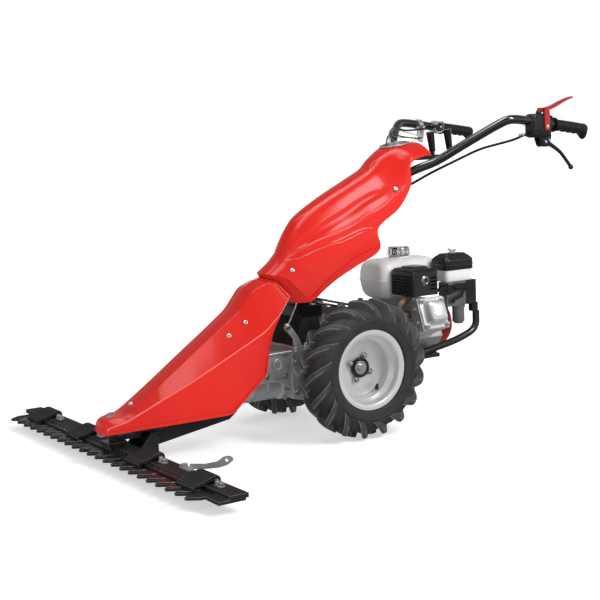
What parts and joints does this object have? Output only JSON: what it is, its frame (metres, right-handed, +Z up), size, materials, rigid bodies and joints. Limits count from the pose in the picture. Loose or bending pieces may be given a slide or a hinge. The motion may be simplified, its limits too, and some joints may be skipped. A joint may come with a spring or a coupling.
{
  "type": "sickle bar mower",
  "caption": "Walk-behind motor mower with a wide front finger bar and reciprocating knife, two tractor-tread wheels, single-cylinder engine, red covers and long twin handlebars.",
  "frame": {"origin": "middle of the base rectangle on the ground plane", "axes": "+Y from the finger bar to the handlebar grips, +X to the left side of the machine seen from the operator facing forward, +Z up"},
  "size_m": [1.264, 1.61, 0.962],
  "materials": {
    "tyre": "moulded rubber, matt",
    "rim_grey": "light grey paint, satin",
    "zinc": "zinc plated",
    "shaft_steel": "turned",
    "cast_grey": "cast, matt",
    "engine_alloy": "die cast",
    "valve_alloy": "bright die cast",
    "black_paint": "black paint, half gloss",
    "black_iron": "black painted casting",
    "blade_steel": "blackened",
    "strip_steel": "galvanised",
    "red_plastic": "glossy red",
    "tank_grey": "light grey, satin",
    "cap_chrome": "fluted, polished",
    "black_plastic": "black, fine grain",
    "white_plastic": "off white",
    "grip_rubber": "ribbed, matt",
    "exhaust_steel": "heat tinted",
    "cable_black": "sheath"
  },
  "bodies": {
    "chassis": {"bar_bolts": "zinc", "hood_screws": "zinc", "wing_nut": "zinc", "throttle_clamp": "zinc", "cable_bracket": "zinc", "gearbox_left": "cast_grey", "gearbox_right": "cast_grey", "axle_tubes": "cast_grey", "pto_tube": "cast_grey", "clutch_housing": "cast_grey", "crankcase": "engine_alloy", "cylinder_block": "engine_alloy", "carburettor": "engine_alloy", "valve_cover": "valve_alloy", "gearbox_lid": "black_paint", "front_frame": "black_paint", "bar_bracket": "black_paint", "guard_bar": "black_paint", "guard_fingers": "black_paint", "hold_downs": "black_paint", "hood_brackets": "black_paint", "engine_guard": "black_paint", "handle_column": "black_paint", "handle_clamp": "black_paint", "left_handlebar": "black_paint", "right_handlebar": "black_paint", "muffler_guard": "black_paint", "drive_box": "black_iron", "swath_arm": "strip_steel", "front_hood": "red_plastic", "upper_hood": "red_plastic", "starter_shroud": "red_plastic", "fuel_tank": "tank_grey", "filter_cover": "black_plastic", "intake_box": "black_plastic", "control_block": "black_plastic", "filter_base": "white_plastic", "grips": "grip_rubber", "muffler": "exhaust_steel", "control_cables": "cable_black"},
    "left_wheel": {"left_tyre": "tyre", "left_rim": "rim_grey", "left_hub": "shaft_steel", "left_wheel_nuts": "zinc"},
    "right_wheel": {"right_tyre": "tyre", "right_rim": "rim_grey", "right_hub": "shaft_steel", "right_wheel_nuts": "zinc"},
    "knife": {"knife_sections": "blade_steel", "knife_back": "blade_steel", "knife_head": "blade_steel"},
    "rocker_arm": {"rocker": "blade_steel"},
    "drive_shaft": {"pto_shaft": "shaft_steel"},
    "engine_shaft": {"crankshaft": "shaft_steel"},
    "filler_cap": {"fuel_cap": "cap_chrome"},
    "clutch_handle": {"clutch_lever": "black_plastic"},
    "stop_handle": {"stop_lever": "red_plastic"},
    "throttle_handle": {"throttle_lever": "black_plastic"},
    "gear_selector": {"gear_lever": "black_paint"},
    "lock_selector": {"lock_lever": "black_paint"}
  },
  "joints": [
    {"name": "left_wheel_spin", "type": "hinge", "parent": "chassis", "child": "left_wheel", "pos_m": [0.214, -0.041, 0.203], "axis": [1, 0, 0], "continuous": true},
    {"name": "right_wheel_spin", "type": "hinge", "parent": "chassis", "child": "right_wheel", "pos_m": [-0.214, -0.041, 0.203], "axis": [1, 0, 0], "continuous": true},
    {"name": "knife_stroke", "type": "slide", "parent": "chassis", "child": "knife", "axis": [1, 0, 0], "range_m": [-0.0254, 0.0254]},
    {"name": "rocker_swing", "type": "hinge", "parent": "chassis", "child": "rocker_arm", "pos_m": [0, -0.666, 0.07], "axis": [0, 0, 1], "range_deg": [-22.5, 22.5]},
    {"name": "drive_shaft_spin", "type": "hinge", "parent": "chassis", "child": "drive_shaft", "pos_m": [0, -0.341, 0.145], "axis": [0, 1, 0], "continuous": true},
    {"name": "crankshaft_spin", "type": "hinge", "parent": "chassis", "child": "engine_shaft", "pos_m": [0, 0.264, 0.266], "axis": [0, 1, 0], "continuous": true},
    {"name": "fuel_cap_turn", "type": "hinge", "parent": "chassis", "child": "filler_cap", "pos_m": [-0.04, 0.297, 0.49], "axis": [0, 0, 1], "range_deg": [0, 90]},
    {"name": "clutch_squeeze", "type": "hinge", "parent": "chassis", "child": "clutch_handle", "pos_m": [0.27, 0.621, 0.826], "axis": [1, 0, 0], "range_deg": [0, 22], "stiffness_Nm_per_rad": 3, "springref_deg": -8.59},
    {"name": "stop_press", "type": "hinge", "parent": "chassis", "child": "stop_handle", "pos_m": [0.27, 0.623, 0.921], "axis": [-1, 0, 0], "range_deg": [0, 18], "stiffness_Nm_per_rad": 2, "springref_deg": -11.46},
    {"name": "throttle_turn", "type": "hinge", "parent": "chassis", "child": "throttle_handle", "pos_m": [-0.2431, 0.64504, 0.87992], "axis": [-1, 0, 0], "range_deg": [0, 50]},
    {"name": "gear_shift", "type": "slide", "parent": "chassis", "child": "gear_selector", "axis": [0, 1, 0], "range_m": [-0.018, 0.018]},
    {"name": "lock_shift", "type": "slide", "parent": "chassis", "child": "lock_selector", "axis": [0, 1, 0], "range_m": [-0.018, 0.018]}
  ],
  "couplings": [
    {"joint": "rocker_swing", "follows": "knife_stroke", "rad_per_m": 15.385}
  ]
}
